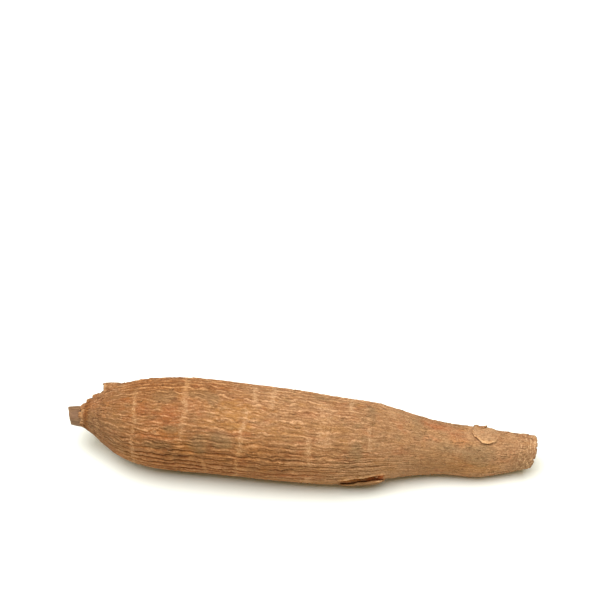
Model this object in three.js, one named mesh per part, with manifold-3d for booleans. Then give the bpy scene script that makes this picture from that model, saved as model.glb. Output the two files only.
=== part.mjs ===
// A cassava root as it is sold: one swollen storage root with its bark on, cut from the plant at the
// neck and broken off at the tail. It grew as one piece, so it is one closed solid and one mesh.
//
// Millimetres, +Z up. The root lies on the plane z = 0 along X, with its tail towards -X and its neck
// towards +X. The origin is under the middle of its bounding box.

import * as THREE from "three";
import { mergeVertices } from "three/addons/utils/BufferGeometryUtils.js";
import Module from "manifold-3d";

// ---------------------------------------------------------------- driving dimensions
// Places along the root are counted in mm from the tail.
const LENGTH = 301; // the place of the cut neck
const MIDDLE = 148.9; // the place half way between the ends, where x = 0
const BARK_START = 7.5; // where the bark sleeve begins round the stub
// The bare woody core: the place of its break, its own length and axis, and how far its break leans
// away, per mm towards +Y.
const TAIL_STUB = { from: -1.1, radius: 7.1, length: 9.6, sway: 5.85, lift: 26.6, lean: 0.3 };
const NECK_END = 6; // length behind the cut where the bark's relief runs out
const NECK_CHAMFER = 1.2; // worn rim of the neck's cut face
const NECK_CUT_TILT = 0.25; // how far the cut leans back per mm down the face
const NECK_CHIP = 1.5; // deepest chip broken out of the bark round the cut

// The swollen body: place, radius, sideways sway of the axis and its height.
const STATIONS = [
  { at: 7.5, radius: 7.4, sway: 6.3, lift: 27.15 },
  { at: 10, radius: 8.6, sway: 6.35, lift: 27.05 },
  { at: 16, radius: 12.8, sway: 6.65, lift: 27.1 },
  { at: 24, radius: 18.8, sway: 6.05, lift: 27.25 },
  { at: 36, radius: 24.3, sway: 3.55, lift: 27.7 },
  { at: 54, radius: 28.7, sway: 2.35, lift: 28.2 },
  { at: 80, radius: 30.2, sway: 1.05, lift: 29.1 },
  { at: 112, radius: 29.6, sway: -0.95, lift: 28.55 },
  { at: 150, radius: 28.7, sway: -2.35, lift: 28.05 },
  { at: 175, radius: 27.1, sway: -3.15, lift: 27.0 },
  { at: 198, radius: 24.2, sway: -0.95, lift: 24.8 },
  { at: 220, radius: 19.5, sway: 1.65, lift: 20.8 },
  { at: 240, radius: 16.3, sway: 2.75, lift: 17.85 },
  { at: 264, radius: 15.5, sway: 3.2, lift: 15.5 },
  { at: 282, radius: 12.95, sway: 4.9, lift: 14.4 },
  { at: 301, radius: 10.6, sway: 5.95, lift: 14.45 },
];

// Bark relief: ridges with a flat crest run along the root, with a fissure between each two. They
// wander, and the fissures break off and start again.
const RIDGES = 32;
const CREST_EDGE = 0.26; // where a crest ends, as a share of the ridge's width from its middle
const CREST = 0.5; // height of a crest over the mean surface
const FISSURE = 1.0; // depth of a fissure under it
const FISSURE_RUN = 36; // mean length of one unbroken fissure
const WANDER = 0.05; // radians that a ridge strays to either side
const REST_FADE = 3; // the relief is worn flat over this height above the surface the root lies on

// Smooth scars that cross the ridges: place, half width, and the arc they cover (start, sweep).
const SCARS = [
  { at: 43, half: 2.2, from: 60, sweep: 170 },
  { at: 77, half: 2.4, from: 70, sweep: 95 },
  { at: 110, half: 2.2, from: 100, sweep: 130 },
  { at: 121, half: 1.8, from: 40, sweep: 60 },
  { at: 154, half: 2.4, from: 120, sweep: 110 },
  { at: 194, half: 1.8, from: 110, sweep: 60 },
  { at: 90, half: 2.0, from: 290, sweep: 130 },
  { at: 166, half: 2.0, from: 330, sweep: 110 },
];

// Loose bark. Angles go round the axis from +Y, over the top (+Z at 90), to the front (-Y at 180).
const BLADE = 0.9; // thickness of every loose piece of bark
// Strips at the tail: where each grows from, its length and width, how much of its distance from the
// axis it keeps while the root narrows (hold), and how far its end turns up.
const TAIL_STRIPS = [
  { at: 34, angle: 44, long: 14.8, wide: 22, hold: 0.65, upturn: 0 },
  { at: 18.5, angle: 46, long: 4.7, wide: 10, hold: 0.5, upturn: 0.1 },
  { at: 13.5, angle: 50, long: 4.0, wide: 7, hold: 0.6, upturn: 0.1 },
  { at: 11, angle: 92, long: 4.2, wide: 5, hold: 0.2, upturn: 0.3 },
  { at: 11, angle: 132, long: 4.4, wide: 6, hold: 0.2, upturn: 0.2 },
  { at: 11, angle: 178, long: 3.6, wide: 5, hold: 0.2, upturn: 0.3 },
  { at: 21, angle: 345, long: 6.5, wide: 10, hold: 0.7, upturn: 0.8 },
  { at: 31, angle: 318, long: 9.0, wide: 15, hold: 0.6, upturn: 0.2 },
  { at: 19, angle: 296, long: 5.5, wide: 8, hold: 0.6, upturn: 0.7 },
  { at: 15, angle: 15, long: 5.0, wide: 7, hold: 0.6, upturn: 0.4 },
];
// The plate on the neck: at places along it, the angles of its back edge and of its front edge.
const NECK_PLATE = [
  { at: 259, back: 82, front: 88 },
  { at: 260.2, back: 60, front: 96 },
  { at: 261.8, back: 38, front: 100 },
  { at: 265.5, back: 25, front: 110 },
  { at: 269, back: 22, front: 111 },
  { at: 273.5, back: 25, front: 106 },
  { at: 276, back: 32, front: 90 },
  { at: 279, back: 44, front: 62 },
];
const PLATE_RISE = { inside: 0.7, edge: 1.0 }; // over the bark, and as much again along its edge
// The split under the belly: the angle of its torn edge, and the depth of its bed. Its lip is fast at
// the hinge, and its free edge faces the torn one.
const SPLIT = { from: 174.5, to: 205, top: 200, bed: 1.5 };
const LIP = { hinge: 243, edge: 204, lift: 2.2 };

// ---------------------------------------------------------------- fineness of the facets
const COLUMNS = [-CREST_EDGE, CREST_EDGE, 0.5]; // on each ridge: both edges of its crest, its fissure
const AROUND = COLUMNS.length * RIDGES;
const RING_STEP = 6.8; // spacing of the rings along the body

const { clamp, degToRad: radians, lerp, radToDeg, smoothstep } = THREE.MathUtils;

// A smooth curve through the stations: cubic pieces whose slope at each station is that of the chord
// between its neighbours.
function along(key, at) {
  const last = STATIONS.length - 1;
  const slope = (i) => {
    const before = STATIONS[Math.max(i - 1, 0)];
    const after = STATIONS[Math.min(i + 1, last)];
    return (after[key] - before[key]) / (after.at - before.at);
  };
  let i = 0;
  while (i < last - 1 && STATIONS[i + 1].at < at) i++;
  const [a, b] = [STATIONS[i], STATIONS[i + 1]];
  const span = b.at - a.at;
  const t = clamp((at - a.at) / span, 0, 1);
  return (
    (1 + 2 * t) * (1 - t) ** 2 * a[key] +
    t * (1 - t) ** 2 * span * slope(i) +
    t * t * (3 - 2 * t) * b[key] +
    t * t * (t - 1) * span * slope(i + 1)
  );
}

// A repeatable draw from 0 to 1 for a whole number.
function draw(n) {
  const wave = Math.sin(n * 12.9898 + 4.1414) * 43758.5453;
  return wave - Math.floor(wave);
}

// Slow swellings that keep the section from being a true circle, as a share of the radius.
function swelling(at, angle) {
  return (
    0.016 * Math.cos(2 * angle + 0.9 + at / 70) +
    0.01 * Math.cos(3 * angle - at / 41) +
    0.012 * Math.sin(at / 17 + 2 * Math.sin(angle)) * smoothstep(at, 30, 80)
  );
}

// The smooth surface: distance from the axis at a place along the root and an angle round it.
function smoothRadius(at, angle) {
  return along("radius", at) * (1 + swelling(at, angle));
}

// A point of the root from its place along it, the angle round it and the distance from the axis.
function place(at, angle, radius) {
  return new THREE.Vector3(
    at - MIDDLE,
    along("sway", at) + radius * Math.cos(angle),
    along("lift", at) + radius * Math.sin(angle),
  );
}

// 1 on a scar, 0 away from it.
function scar(at, angle) {
  const degrees = radToDeg(angle);
  let most = 0;
  for (const s of SCARS) {
    const round = THREE.MathUtils.euclideanModulo(degrees - s.from, 360);
    const inside = smoothstep(round, 0, 12) * (1 - smoothstep(round, s.sweep - 12, s.sweep));
    most = Math.max(most, inside * (1 - smoothstep(Math.abs(at - s.at), s.half, 2 * s.half)));
  }
  return most;
}

// Where column number `column` runs on a straight root.
function columnAngle(column) {
  const ridge = Math.floor(column / COLUMNS.length);
  return (2 * Math.PI * (ridge + COLUMNS[column % COLUMNS.length])) / RIDGES;
}

function inFissure(column) {
  return column % COLUMNS.length === COLUMNS.length - 1;
}

// Height of the bark over the smooth surface on column number `column`.
function relief(at, angle, column, radius) {
  const phase = 2 * Math.PI * draw(column);
  const beat = Math.sin((2 * Math.PI * at) / (FISSURE_RUN * (0.8 + 0.5 * draw(column + 99))) + phase);
  const height = inFissure(column) ? -FISSURE * smoothstep(beat, -0.9, 0.1) : CREST * (0.75 + 0.25 * beat);
  const thin = clamp(radius / 24, 0.45, 1); // crests crowd and flatten where the root narrows
  const overFloor = along("lift", at) + radius * Math.sin(angle);
  const kept = smoothstep(overFloor, 0.5, REST_FADE);
  return height * thin * kept * (1 - 0.85 * scar(at, angle)) + 0.25 * scar(at, angle) * kept;
}

// How far the split gapes, at a share of the way along it: 0 at its ends and 1 in the middle.
function gape(share) {
  return Math.sin(Math.PI * clamp(share, 0, 1)) ** 0.4;
}

// The bed of the split, from its torn edge to under its lip.
function bed(at, angle) {
  const degrees = radToDeg(angle);
  const open = gape((at - SPLIT.from) / (SPLIT.to - SPLIT.from));
  const end = (SPLIT.top + LIP.hinge) / 2;
  const top = lerp(end, SPLIT.top, open);
  const across = smoothstep(degrees, top - 2, top + 3) * (1 - smoothstep(degrees, end, end + 5));
  return -SPLIT.bed * Math.min(4 * open, 1) * across;
}

// ---------------------------------------------------------------- closed meshes from grids
function closedMesh(points, faces) {
  const geometry = new THREE.BufferGeometry();
  const flat = points.flatMap((p) => [p.x, p.y, p.z]);
  geometry.setAttribute("position", new THREE.Float32BufferAttribute(flat, 3));
  geometry.setIndex(faces);
  return geometry;
}

// Rings of points, closed by a fan at each end. Quads to either side of a fissure are split the
// opposite way, so that it has no slant of its own.
function tube(rings) {
  const count = rings[0].length;
  const points = rings.flat();
  const faces = [];
  for (let i = 0; i < rings.length - 1; i++) {
    for (let j = 0; j < count; j++) {
      const next = (j + 1) % count;
      const [a, b] = [i * count + j, i * count + next];
      const [c, d] = [a + count, b + count];
      faces.push(...(inFissure(j) ? [a, b, c, b, d, c] : [a, b, d, a, d, c]));
    }
  }
  for (const [first, turned] of [[0, true], [(rings.length - 1) * count, false]]) {
    const middle = points.length;
    const centre = new THREE.Vector3();
    for (let j = 0; j < count; j++) centre.addScaledVector(points[first + j], 1 / count);
    points.push(centre);
    for (let j = 0; j < count; j++) {
      const [a, b] = [first + j, first + ((j + 1) % count)];
      faces.push(...(turned ? [b, a, middle] : [a, b, middle]));
    }
  }
  return closedMesh(points, faces);
}

// A thin curved blade: an upper and a lower skin over the same grid, joined along the four edges.
function blade(rows, columns, upper, lower) {
  const points = [];
  for (const skin of [upper, lower]) {
    for (let i = 0; i <= rows; i++) {
      for (let j = 0; j <= columns; j++) points.push(skin(i / rows, j / columns));
    }
  }
  const faces = [];
  const index = (skin, i, j) => (skin * (rows + 1) + i) * (columns + 1) + j;
  const quad = (a, b, c, d) => faces.push(a, b, c, a, c, d);
  for (let i = 0; i < rows; i++) {
    for (let j = 0; j < columns; j++) {
      quad(index(0, i, j), index(0, i + 1, j), index(0, i + 1, j + 1), index(0, i, j + 1));
      quad(index(1, i, j), index(1, i, j + 1), index(1, i + 1, j + 1), index(1, i + 1, j));
    }
    quad(index(0, i, 0), index(1, i, 0), index(1, i + 1, 0), index(0, i + 1, 0));
    quad(index(0, i, columns), index(0, i + 1, columns), index(1, i + 1, columns), index(1, i, columns));
  }
  for (let j = 0; j < columns; j++) {
    quad(index(0, 0, j), index(0, 0, j + 1), index(1, 0, j + 1), index(1, 0, j));
    quad(index(0, rows, j), index(1, rows, j), index(1, rows, j + 1), index(0, rows, j + 1));
  }
  return closedMesh(points, faces);
}

// ---------------------------------------------------------------- the root's own forms
// A ring of bark: every column strays a little, so that the ridges wander along the root.
function barkRing(at) {
  const ring = [];
  for (let column = 0; column < AROUND; column++) {
    const straight = columnAngle(column);
    const stray =
      0.6 * Math.sin(at / 9 + 2.2 * Math.sin(straight) + 1.3) + 0.4 * Math.sin(at / 5.3 + 3 * straight);
    const angle = straight + WANDER * stray;
    const radius = smoothRadius(at, angle);
    const height = relief(at, angle, column, radius) + bed(at, angle);
    ring.push(place(at, angle, radius + height));
  }
  return ring;
}

// A ring of the bare stub, `out` mm in from the middle of its break. The nearer the break, the more it
// leans.
function stubRing(out, radius) {
  const ring = [];
  for (let column = 0; column < AROUND; column++) {
    const angle = columnAngle(column);
    const ribs = 0.03 * Math.cos(5 * angle) + 0.025 * Math.cos(9 * angle + 2);
    const lobed = radius * (1 + 0.06 * Math.cos(2 * angle + 1) + ribs);
    const slant = TAIL_STUB.lean * lobed * Math.cos(angle) * (1 - clamp(out / TAIL_STUB.length, 0, 1));
    ring.push(
      new THREE.Vector3(
        TAIL_STUB.from + out - slant - MIDDLE,
        TAIL_STUB.sway + lobed * Math.cos(angle),
        TAIL_STUB.lift + lobed * Math.sin(angle),
      ),
    );
  }
  return ring;
}

// A ring of the neck's cut face: `share` of the neck's radius, `back` from the end of the root.
function cutRing(share, back) {
  const ring = [];
  const radius = along("radius", LENGTH);
  for (let column = 0; column < AROUND; column++) {
    const angle = columnAngle(column);
    const chip = share > 0.9 ? NECK_CHIP * smoothstep(draw(Math.floor(column / 3) + 300), 0.55, 1) : 0;
    const distance = share * smoothRadius(LENGTH, angle) - 0.3 * chip;
    const point = place(LENGTH, angle, distance);
    point.x -= back + chip + NECK_CUT_TILT * (radius - distance * Math.sin(angle));
    ring.push(point);
  }
  return ring;
}

// Where the bark's rings go: evenly spaced, but moved onto a scar that is near.
function barkPlaces() {
  const length = LENGTH - NECK_END - BARK_START;
  const steps = Math.round(length / RING_STEP);
  return Array.from({ length: steps + 1 }, (_, i) => {
    const even = BARK_START + (length * i) / steps;
    const near = SCARS.find((s) => Math.abs(s.at - even) < RING_STEP / 2);
    return near ? near.at : even;
  });
}

function rootBody() {
  const rings = [
    stubRing(0, 0.8 * TAIL_STUB.radius),
    stubRing(0.7, 0.87 * TAIL_STUB.radius),
    stubRing(TAIL_STUB.length, 0.97 * TAIL_STUB.radius),
  ];
  rings.push(...barkPlaces().map(barkRing));
  rings.push(cutRing(1, NECK_CHAMFER), cutRing(0.88, 0), cutRing(0.8, 0.5), cutRing(0.3, 0.2));
  return tube(rings);
}

// A torn strip of bark on the tail's shoulder. It grows out of the bark at u = 0 and keeps straight on
// towards the tail, while the root under it narrows. Its long borders stay down on the root.
function tailStrip({ at, angle, long, wide, hold, upturn }) {
  const skin = (under) => (u, v) => {
    const here = at - long * u;
    const turn = radians(angle) + (wide * (1 - 0.15 * u) * (v - 0.5)) / along("radius", at);
    const own = smoothRadius(Math.max(here, BARK_START), turn);
    const arch = 1 - smoothstep(Math.abs(2 * v - 1), 0.5, 1);
    const kept = hold * (smoothRadius(at, turn) - own) * arch + upturn * u ** 3;
    const sunk = 1.4 * (1 - smoothstep(u, 0, 0.35)) + 0.5 * (1 - arch);
    return place(here, turn, own + kept + BLADE / 2 - sunk - under);
  };
  return blade(3, 4, skin(0), skin(BLADE));
}

// A plate of outer bark on the neck that is coming away: its edges stand off, most at its tailward
// tip, and its neckward end is still fast.
function neckPlate() {
  const stretches = NECK_PLATE.length - 1;
  const skin = (under) => (u, v) => {
    const i = Math.min(Math.floor(u * stretches), stretches - 1);
    const [a, b] = [NECK_PLATE[i], NECK_PLATE[i + 1]];
    const between = (key) => lerp(a[key], b[key], u * stretches - i);
    const at = between("at");
    const turn = radians(lerp(between("back"), between("front"), v));
    const free = (1 - smoothstep(u, 0.5, 1)) * Math.max(Math.abs(2 * v - 1) ** 5, (1 - u) ** 6);
    const rise = PLATE_RISE.inside + PLATE_RISE.edge * free - smoothstep(u, 0.75, 1);
    const thick = BLADE + 1.5 * (1 - free); // reaches down into the bark where it is still fast
    return place(at, turn, smoothRadius(at, turn) + rise - under * thick);
  };
  return blade(stretches, 6, skin(0), skin(1));
}

// The lip of bark along the split: fast along its hinge and at both ends, and sprung open between, so
// that it runs beside the root's surface from the hinge to its free edge.
function barkLip() {
  const skin = (under) => (u, v) => {
    const at = lerp(SPLIT.from, SPLIT.to, u);
    const open = gape(u);
    const edge = lerp((LIP.edge + LIP.hinge) / 2, LIP.edge, open);
    const turn = radians(lerp(LIP.hinge, edge, v));
    const rise = LIP.lift * open * smoothstep(v, 0, 0.6) - 1.3 * (1 - smoothstep(v, 0, 0.25));
    return place(at, turn, smoothRadius(at, turn) + rise + BLADE / 2 - under);
  };
  return blade(12, 5, skin(0), skin(BLADE));
}

// ---------------------------------------------------------------- joining the forms into one solid
const wasm = await Module();
wasm.setup();

function solidOf(geometry) {
  const bare = geometry.clone();
  bare.deleteAttribute("normal");
  bare.deleteAttribute("uv");
  const merged = mergeVertices(bare, 1e-4);
  return new wasm.Manifold(
    new wasm.Mesh({
      numProp: 3,
      vertProperties: new Float32Array(merged.attributes.position.array),
      triVerts: new Uint32Array(merged.index.array),
    }),
  );
}

function geometryOf(solid) {
  const { vertProperties, triVerts } = solid.getMesh();
  const indexed = new THREE.BufferGeometry();
  indexed.setAttribute("position", new THREE.BufferAttribute(vertProperties, 3));
  indexed.setIndex(new THREE.BufferAttribute(triVerts, 1));
  const geometry = indexed.toNonIndexed();
  geometry.computeVertexNormals();
  return geometry;
}

// Everything under the resting plane is worn away, which leaves a flat spot on the belly.
function belowRestingPlane() {
  const depth = 20;
  return new THREE.BoxGeometry(2 * LENGTH, LENGTH, depth).translate(0, 0, -depth / 2);
}

// The outer surface alone: a hollow that the joining has sealed is filled, and a loose scrap is dropped.
function outermost(solid) {
  const [largest] = solid.decompose().sort((a, b) => b.volume() - a.volume());
  return largest;
}

const loose = [...TAIL_STRIPS.map(tailStrip), neckPlate(), barkLip()];
const whole = loose.reduce((body, piece) => body.add(solidOf(piece)), solidOf(rootBody()));
const resting = outermost(whole.subtract(solidOf(belowRestingPlane())));

const bark = new THREE.MeshStandardMaterial({ color: 0xa0744c, roughness: 0.88, metalness: 0 });
const cassavaRoot = new THREE.Mesh(geometryOf(resting), bark);
cassavaRoot.name = "cassava_root";

const part = new THREE.Group();
part.add(cassavaRoot);

export default part;
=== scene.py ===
# %% [markdown]
# # A cassava root
# A cassava root is starchy flesh inside a thin, dry, brown bark. This one has been cut from its plant at
# the neck and broken off at the tail, where the bare woody core stands out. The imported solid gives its
# form. Here it gets its looks: a finely cracked bark, the bare core, the cut, and the loose bark.

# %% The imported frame
import math

import bpy
import numpy as np
from mathutils import Matrix, Vector


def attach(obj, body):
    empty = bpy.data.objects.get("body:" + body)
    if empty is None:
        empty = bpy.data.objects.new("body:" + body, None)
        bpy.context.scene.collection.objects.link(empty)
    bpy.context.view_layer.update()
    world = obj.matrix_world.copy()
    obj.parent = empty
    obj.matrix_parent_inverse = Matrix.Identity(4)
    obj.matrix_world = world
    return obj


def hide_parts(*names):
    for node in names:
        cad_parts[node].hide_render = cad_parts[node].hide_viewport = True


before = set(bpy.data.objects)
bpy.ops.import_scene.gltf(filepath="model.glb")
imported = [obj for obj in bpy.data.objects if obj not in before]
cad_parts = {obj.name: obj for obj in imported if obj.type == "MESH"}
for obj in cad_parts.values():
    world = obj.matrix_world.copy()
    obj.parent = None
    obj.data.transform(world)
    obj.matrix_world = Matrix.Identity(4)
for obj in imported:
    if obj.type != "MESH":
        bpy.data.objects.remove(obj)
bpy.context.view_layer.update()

# %% [markdown]
# ## Measures and small helpers
# All shapes of the root are worked out in millimetres, with the root along X, its tail at -X and the
# surface it lies on at z = 0. Only the function that makes a mesh turns them into metres. A shape could
# also be sculpted by hand, but a formula on a grid can be read, repeated and changed by one number.

# %% Steps and noise
MM = 0.001  # metres in a millimetre


def step(value, start, end):
    """0 before `start`, 1 after `end`, and 3t^2 - 2t^3 in between."""
    t = np.clip((value - start) / (end - start), 0, 1)
    return t * t * (3 - 2 * t)


def between(value, start, full, ebb, end):
    """A plateau: it rises by a step from `start` to `full` and falls by one from `ebb` to `end`."""
    return step(value, start, full) * (1 - step(value, ebb, end))


def noise(x, y, z, seed):
    """Smooth noise, about -0.6 to 0.6. Each corner of a unit lattice has a slope of its own, drawn from
    the seed. A point takes every corner's slope times its distance from that corner, and blends the
    eight of them by 6t^5 - 15t^4 + 10t^3."""
    draw = np.random.default_rng(seed)
    order = draw.permutation(256)
    slopes = draw.normal(size=(256, 3))
    slopes /= np.linalg.norm(slopes, axis=1, keepdims=True)
    point = np.stack(np.broadcast_arrays(x, y, z), axis=-1)
    cell = np.floor(point).astype(int)
    inside = point - cell
    blend = inside**3 * (inside * (6 * inside - 15) + 10)
    total = np.zeros(point.shape[:-1])
    for corner in np.ndindex(2, 2, 2):
        i, j, k = np.moveaxis((cell + corner) & 255, -1, 0)
        slope = slopes[order[(order[(order[i] + j) & 255] + k) & 255]]
        weight = np.prod(np.where(corner, blend, 1 - blend), axis=-1)
        total += weight * np.sum(slope * (inside - corner), axis=-1)
    return total


sample = noise(np.linspace(0, 99, 5000), 0.5, 0.5, seed=1)
print("noise from", round(sample.min(), 2), "to", round(sample.max(), 2))

# %% [markdown]
# Every piece is a grid of points. A mesh can be drawn by hand, but points from a formula come in rows and
# columns, and then the faces can be counted off as well.


# %% Meshes from grids
def grid_faces(rows, columns, closed):
    """The quads of a grid of points numbered row by row. `closed` also joins the last column to the
    first. Rows run along +X and columns from +Y towards +Z, which turns the faces outwards."""
    i, j = np.meshgrid(np.arange(rows - 1), np.arange(columns if closed else columns - 1), indexing="ij")
    across = (j + 1) % columns
    corners = [i * columns + j, i * columns + across, (i + 1) * columns + across, (i + 1) * columns + j]
    return np.stack(corners, axis=-1).reshape(-1, 4)


def put_in_scene(name, data):
    """An object made from its mesh, light or camera."""
    thing = bpy.data.objects.new(name, data)
    bpy.context.scene.collection.objects.link(thing)
    return thing


def make_piece(name, points, faces, **attributes):
    """A smooth-shaded mesh object from points in millimetres. Each attribute is one value or one
    triple a point."""
    mesh = bpy.data.meshes.new(name)
    mesh.from_pydata((points * MM).tolist(), [], faces)
    for key, values in attributes.items():
        values = np.asarray(values, np.float32)
        kind, field = ("FLOAT", "value") if values.ndim == 1 else ("FLOAT_VECTOR", "vector")
        mesh.attributes.new(key, kind, "POINT").data.foreach_set(field, values.ravel())
    mesh.shade_smooth()
    mesh.validate()
    print(f"{name}: {sum(len(face) - 2 for face in faces)} triangles")
    return put_in_scene(name, mesh)


print("quads of a closed grid of 3 by 4 points:", len(grid_faces(3, 4, closed=True)))

# %% [markdown]
# ## The root's form
# The swollen body is a tube whose radius and whose axis change along its length. It could be lofted
# through rings placed by hand. Here a cubic curve goes through sixteen stations, the same as the
# solid's. That gives the long swelling, the waist and the neck without a bump between, and all that
# follows can ask for the surface at any place.

# %% Stations and the smooth surface
LENGTH = 301  # from the middle of the tail's break to the cut neck
MIDDLE = 148.9  # the place that lies half way between the ends of the whole, where x = 0
BARK_START = 7.5  # where the bark begins, round the bare core
CUT_TILT = 0.25  # how far the neck's cut leans back, per mm down its face
CUT_LEAN_FROM, CUT_LEAN_TO = 278, 298  # where the rings turn from upright to the cut's lean
LOWEST = 0.02  # how near the bark comes to the surface it lies on
STATIONS = [
    # at, radius, sway, lift
    (7.5, 7.4, 6.3, 27.15),
    (10, 8.6, 6.35, 27.05),
    (16, 12.8, 6.65, 27.1),
    (24, 18.8, 6.05, 27.25),
    (36, 24.3, 3.55, 27.7),
    (54, 28.7, 2.35, 28.2),
    (80, 30.2, 1.05, 29.1),
    (112, 29.6, -0.95, 28.55),
    (150, 28.7, -2.35, 28.05),
    (175, 27.1, -3.15, 27.0),
    (198, 24.2, -0.95, 24.8),
    (220, 19.5, 1.65, 20.8),
    (240, 16.3, 2.75, 17.85),
    (264, 15.5, 3.2, 15.5),
    (282, 12.95, 4.9, 14.4),
    (301, 10.6, 5.95, 14.45),
]
PLACES, RADIUS, SWAY, LIFT = np.array(STATIONS).T


def along(values, at):
    """A station value at a place: a cubic through the stations, whose slope at each one is that of
    the chord between its neighbours."""
    numbers = np.arange(len(PLACES))
    before, after = np.maximum(numbers - 1, 0), np.minimum(numbers + 1, len(PLACES) - 1)
    slopes = (values[after] - values[before]) / (PLACES[after] - PLACES[before])
    i = np.clip(np.searchsorted(PLACES, at, side="right") - 1, 0, len(PLACES) - 2)
    span = PLACES[i + 1] - PLACES[i]
    t = np.clip((at - PLACES[i]) / span, 0, 1)
    return (
        (1 + 2 * t) * (1 - t) ** 2 * values[i]
        + t * (1 - t) ** 2 * span * slopes[i]
        + t * t * (3 - 2 * t) * values[i + 1]
        + t * t * (t - 1) * span * slopes[i + 1]
    )


def smooth_radius(at, angle):
    """Radius at a place and an angle: the station curve times slow swellings of one or two per cent."""
    swelling = (
        0.016 * np.cos(2 * angle + 0.9 + at / 70)
        + 0.01 * np.cos(3 * angle - at / 41)
        + 0.012 * np.sin(at / 17 + 2 * np.sin(angle)) * step(at, 30, 80)
    )
    return along(RADIUS, at) * (1 + swelling)


def place(at, angle, distance):
    """A point of the root: `at` mm from the tail, at an angle round the axis from +Y over the top, and
    a distance from the axis. Towards the neck the rings lean back with the cut. Nothing goes below the
    surface that the root lies on."""
    lean = CUT_TILT * (along(RADIUS, LENGTH) - distance * np.sin(angle))
    lean *= step(at, CUT_LEAN_FROM, CUT_LEAN_TO)
    x = at - MIDDLE - lean
    y = along(SWAY, at) + distance * np.cos(angle)
    z = along(LIFT, at) + distance * np.sin(angle)
    return np.stack(np.broadcast_arrays(x, y, np.maximum(z, LOWEST)), axis=-1)


print("widest ring, mm across:", round(2 * along(RADIUS, np.arange(LENGTH)).max(), 1))

# %% [markdown]
# ## Where the bark is scarred, stained, soiled and shaded
# Pale corky scars cross the ridges where side roots and swellings have stretched the bark. Each is a
# band round part of the root, narrow but for two broad faint ones. They could be painted on by hand. A
# list of places does the same and can be read and changed.

# %% Scars
SCARS = [
    # at its first angle, at its last angle, half width, first angle, last angle, strength
    (9.6, 9.2, 0.9, 84, 192, 1.0),
    (44, 46.5, 1.4, 78, 136, 1.0),
    (45.5, 44, 1.2, 132, 225, 0.8),
    (75.5, 78.5, 2.0, 36, 122, 1.0),
    (78, 76, 1.6, 112, 162, 0.8),
    (90, 91.5, 1.0, 166, 222, 0.8),
    (117, 108.5, 1.5, 100, 224, 0.9),
    (120, 122, 1.6, 54, 98, 1.0),
    (132, 133.5, 1.5, 46, 102, 1.0),
    (156, 158, 1.8, 128, 176, 1.0),
    (157, 154, 1.4, 188, 228, 0.9),
    (165, 166, 5.0, 76, 146, 0.6),
    (180.5, 182, 1.3, 46, 94, 1.0),
    (193, 195, 1.1, 108, 156, 1.0),
    (209, 211, 5.0, 40, 92, 0.5),
    (216.5, 218, 1.2, 70, 106, 1.0),
    (215, 213, 0.9, 158, 190, 0.5),
    (232, 231, 0.8, 60, 118, 0.4),
    (250, 248, 0.8, 96, 170, 0.4),
    (284, 285, 1.5, 36, 88, 0.9),
    (290.5, 292, 0.9, 112, 164, 0.9),
    (293, 293, 1.5, 34, 100, 0.8),
    (299, 299, 1.7, 52, 106, 1.0),
    (62, 60, 1.5, 262, 350, 0.8),
    (91, 93, 1.7, 300, 400, 1.0),
    (128, 125, 1.3, 250, 345, 0.8),
    (149, 151, 1.5, 322, 412, 0.8),
    (176, 173, 1.2, 280, 372, 0.7),
    (206, 208, 1.1, 330, 408, 0.7),
    (244, 243, 0.9, 250, 352, 0.5),
]


def beside(at, angle):
    """How far a point of the smooth tube lies beside and above its axis. Together with `at` this is
    where noise is asked for, so that its grains keep their size where the root gets thin."""
    radius = along(RADIUS, np.clip(at, BARK_START, LENGTH))
    return radius * np.cos(angle), radius * np.sin(angle)


def grains(at, angle):
    """A function that gives noise on the bark, from the length of its grains along the root in mm,
    their width across it and a seed."""
    y, z = beside(at, angle)
    return lambda length, width, seed: noise(at / length, y / width, z / width, seed)


def scarred(at, angle):
    """How much of a scar there is, from 0 to 1. A scar runs straight between its two ends but for a
    stray of a millimetre or two. It is broken here and there, and its ends fade out."""
    pattern = grains(at, angle)
    stray = 1.1 * pattern(40, 20, 21) + 1.8 * pattern(30, 7, 22) + 0.9 * pattern(9, 2.6, 23)
    whole = 0.5 + 0.5 * step(pattern(30, 3.2, 24), -0.3, 0.1)
    most = np.zeros(np.broadcast(at, angle).shape)
    for first_at, last_at, half, first, last, strength in SCARS:
        turn = np.mod(np.degrees(angle) - first, 360)
        sweep = last - first
        inside = between(turn, 0, 9, sweep - 9, sweep)
        middle = first_at + (last_at - first_at) * np.clip(turn / sweep, 0, 1)
        band = 1 - step(np.abs(at + stray - middle), 0.4 * half, 1.4 * half)
        most = np.maximum(most, strength * inside * band)
    return most * whole


print(len(SCARS), "scars")
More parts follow.
